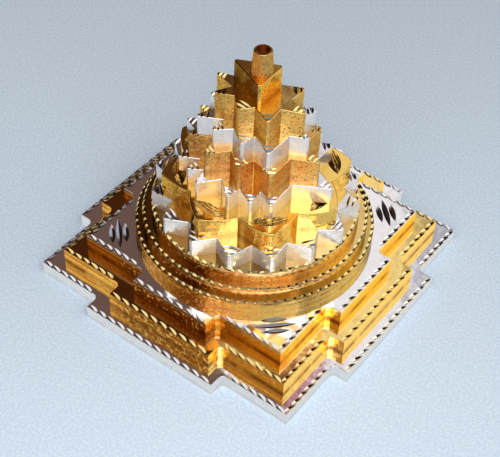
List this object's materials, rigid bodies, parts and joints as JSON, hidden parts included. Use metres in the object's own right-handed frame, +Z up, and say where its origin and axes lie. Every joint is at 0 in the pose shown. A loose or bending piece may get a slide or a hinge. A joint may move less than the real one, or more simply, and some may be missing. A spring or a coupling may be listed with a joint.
{
  "type": "meru shri yantra",
  "caption": "Stepped ritual pyramid of gold and silver plated tiers: gated square base, round rings, petal rings, pointed stars and a central bindu, clamped on one rod.",
  "frame": {"origin": "middle of the underside, on the axis of the stack", "axes": "+Z up the axis of the stack, +X and +Y square to the sides of the base, through the middles of two gates"},
  "size_m": [0.0762, 0.0762, 0.0597],
  "materials": {
    "gold_plate": "polished gold plate over brass, with coppery tarnish in the corners",
    "silver_plate": "polished silver plate over brass",
    "steel": "plain turned steel"
  },
  "bodies": {
    "root": {"base_plate": "silver_plate", "lower_base_tier": "gold_plate", "upper_base_tier": "gold_plate", "base_top_plate": "silver_plate", "lower_ring": "gold_plate", "middle_ring": "gold_plate", "upper_ring": "gold_plate", "sixteen_petal_tier": "silver_plate", "eight_petal_tier": "gold_plate", "fourteen_point_tier": "silver_plate", "outer_ten_point_tier": "gold_plate", "inner_ten_point_tier": "silver_plate", "eight_point_tier": "gold_plate", "triangle_tier": "gold_plate", "bindu": "gold_plate", "tie_rod": "steel", "clamp_washer": "steel", "clamp_nut": "steel", "base_dowels": "steel", "tower_pin": "steel"}
  },
  "joints": []
}
